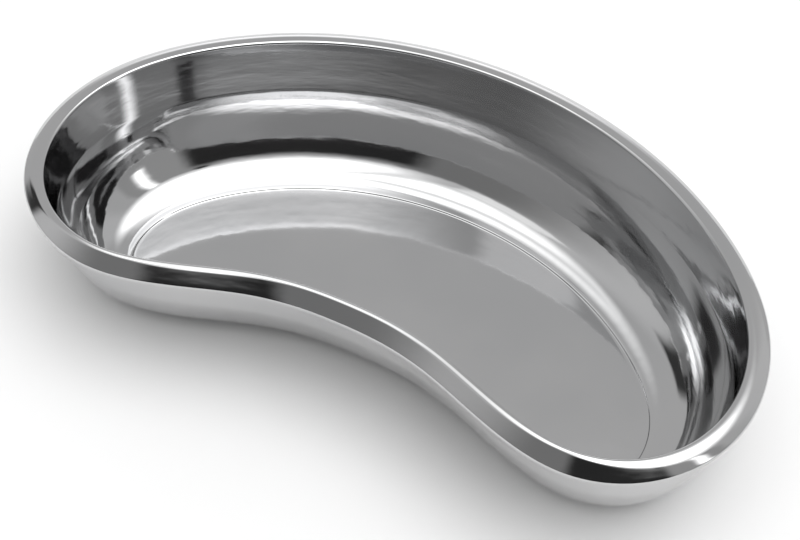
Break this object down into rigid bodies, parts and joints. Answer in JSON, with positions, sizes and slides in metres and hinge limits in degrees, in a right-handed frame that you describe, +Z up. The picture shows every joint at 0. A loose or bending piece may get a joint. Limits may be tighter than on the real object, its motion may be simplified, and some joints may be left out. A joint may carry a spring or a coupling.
{
  "type": "kidney dish",
  "caption": "Kidney-shaped open hospital dish pressed from stainless steel, with a flat floor, rounded foot, drafted wall and turned-down lip.",
  "frame": {"origin": "on the surface that the dish stands on, under the middle of its plan", "axes": "+X along the dish's length, +Z up out of the bowl, and the concave side faces -Y"},
  "size_m": [0.2498, 0.1384, 0.0508],
  "materials": {
    "polished_steel": "mirror-polished stainless steel"
  },
  "bodies": {
    "root": {"pressed_dish": "polished_steel"}
  },
  "joints": []
}
